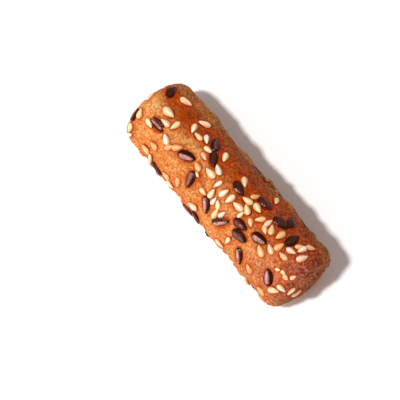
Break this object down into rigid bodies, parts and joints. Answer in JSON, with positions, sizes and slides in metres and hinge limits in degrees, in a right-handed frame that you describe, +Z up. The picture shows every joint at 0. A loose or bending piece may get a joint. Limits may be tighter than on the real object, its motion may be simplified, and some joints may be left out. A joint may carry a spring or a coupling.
{
  "type": "bread roll",
  "caption": "Short stick-shaped bread roll with rounded flat ends, a glazed brown crust strewn with linseeds and sesame seeds, resting on a small baked flat.",
  "frame": {"origin": "on the resting flat, under the middle of the roll", "axes": "+X along the roll's length, +Z up out of the flat, +Y to the side with fewer seeds"},
  "size_m": [0.065, 0.0215, 0.0184],
  "materials": {
    "crust": "egg-glazed baked crust, golden to red brown, satin with glossy patches",
    "linseed": "smooth dark plum-brown seed coat, glossy",
    "sesame": "hulled sesame, cream, satin"
  },
  "bodies": {
    "root": {"baked_roll": "crust", "linseed_01": "linseed", "linseed_02": "linseed", "linseed_03": "linseed", "linseed_04": "linseed", "linseed_05": "linseed", "linseed_06": "linseed", "linseed_07": "linseed", "linseed_08": "linseed", "linseed_09": "linseed", "linseed_10": "linseed", "linseed_11": "linseed", "linseed_12": "linseed", "linseed_13": "linseed", "linseed_14": "linseed", "linseed_15": "linseed", "linseed_16": "linseed", "linseed_17": "linseed", "linseed_18": "linseed", "linseed_19": "linseed", "linseed_20": "linseed", "linseed_21": "linseed", "linseed_22": "linseed", "sesame_seed_01": "sesame", "sesame_seed_02": "sesame", "sesame_seed_03": "sesame", "sesame_seed_04": "sesame", "sesame_seed_05": "sesame", "sesame_seed_06": "sesame", "sesame_seed_07": "sesame", "sesame_seed_08": "sesame", "sesame_seed_09": "sesame", "sesame_seed_10": "sesame", "sesame_seed_11": "sesame", "sesame_seed_12": "sesame", "sesame_seed_13": "sesame", "sesame_seed_14": "sesame", "sesame_seed_15": "sesame", "sesame_seed_16": "sesame", "sesame_seed_17": "sesame", "sesame_seed_18": "sesame", "sesame_seed_19": "sesame", "sesame_seed_20": "sesame", "sesame_seed_21": "sesame", "sesame_seed_22": "sesame", "sesame_seed_23": "sesame", "sesame_seed_24": "sesame", "sesame_seed_25": "sesame", "sesame_seed_26": "sesame", "sesame_seed_27": "sesame", "sesame_seed_28": "sesame", "sesame_seed_29": "sesame", "sesame_seed_30": "sesame", "sesame_seed_31": "sesame", "sesame_seed_32": "sesame", "sesame_seed_33": "sesame", "sesame_seed_34": "sesame", "sesame_seed_35": "sesame", "sesame_seed_36": "sesame", "sesame_seed_37": "sesame"}
  },
  "joints": []
}
